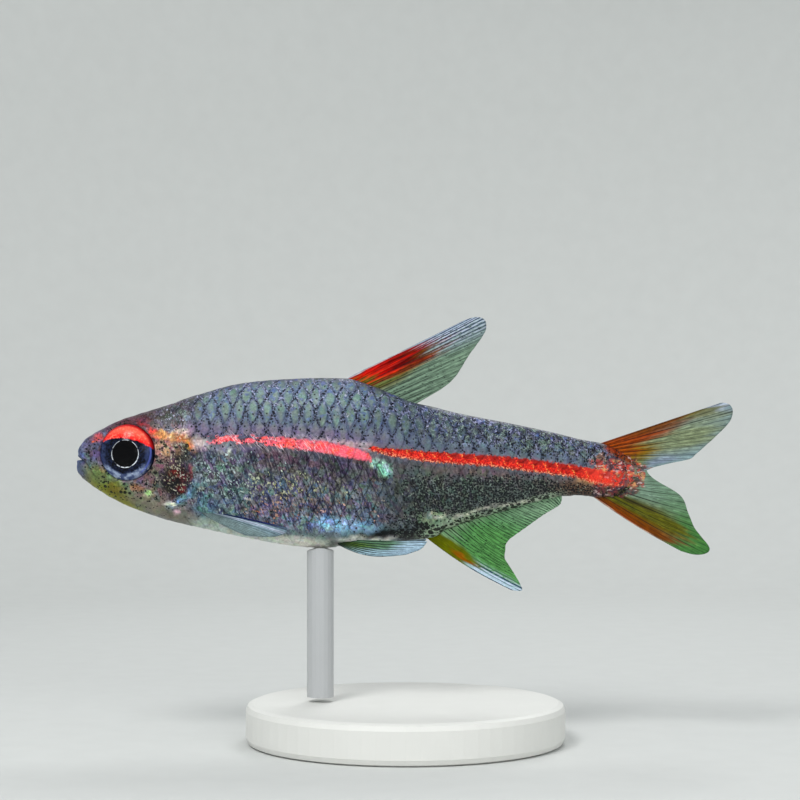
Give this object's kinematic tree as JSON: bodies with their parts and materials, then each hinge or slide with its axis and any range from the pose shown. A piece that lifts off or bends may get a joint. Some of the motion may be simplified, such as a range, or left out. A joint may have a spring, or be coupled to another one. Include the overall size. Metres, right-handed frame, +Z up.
{
  "type": "glowlight tetra display model",
  "caption": "Life-size still model of a small slender aquarium fish with spread fins, held on a round base by one short rod.",
  "frame": {"origin": "centre of the underside of the stand's base, halfway along the fish from lip to tail tip", "axes": "+Z up, +X towards the tail, the fish's left side faces -Y"},
  "size_m": [0.0392, 0.019, 0.0253],
  "materials": {
    "skin": "scaled skin, dark grey-violet to olive with a red-orange stripe from the gill opening to the tail, silvery belly, satin",
    "eye": "glossy, black pupil, navy iris with a red-orange upper part and a silver-blue lower part",
    "fin": "thin rayed membrane, olive to grey-green with red bases and white-blue tips, satin",
    "stand": "satin, pale warm grey"
  },
  "bodies": {
    "root": {"head": "skin", "lower_jaw": "skin", "trunk": "skin", "tail": "skin", "eye_left": "eye", "eye_right": "eye", "dorsal_fin": "fin", "anal_fin": "fin", "tail_fin_upper": "fin", "tail_fin_lower": "fin", "pectoral_fin_left": "fin", "pectoral_fin_right": "fin", "pelvic_fin_left": "fin", "pelvic_fin_right": "fin", "stand_base": "stand", "stand_rod": "stand"}
  },
  "joints": []
}
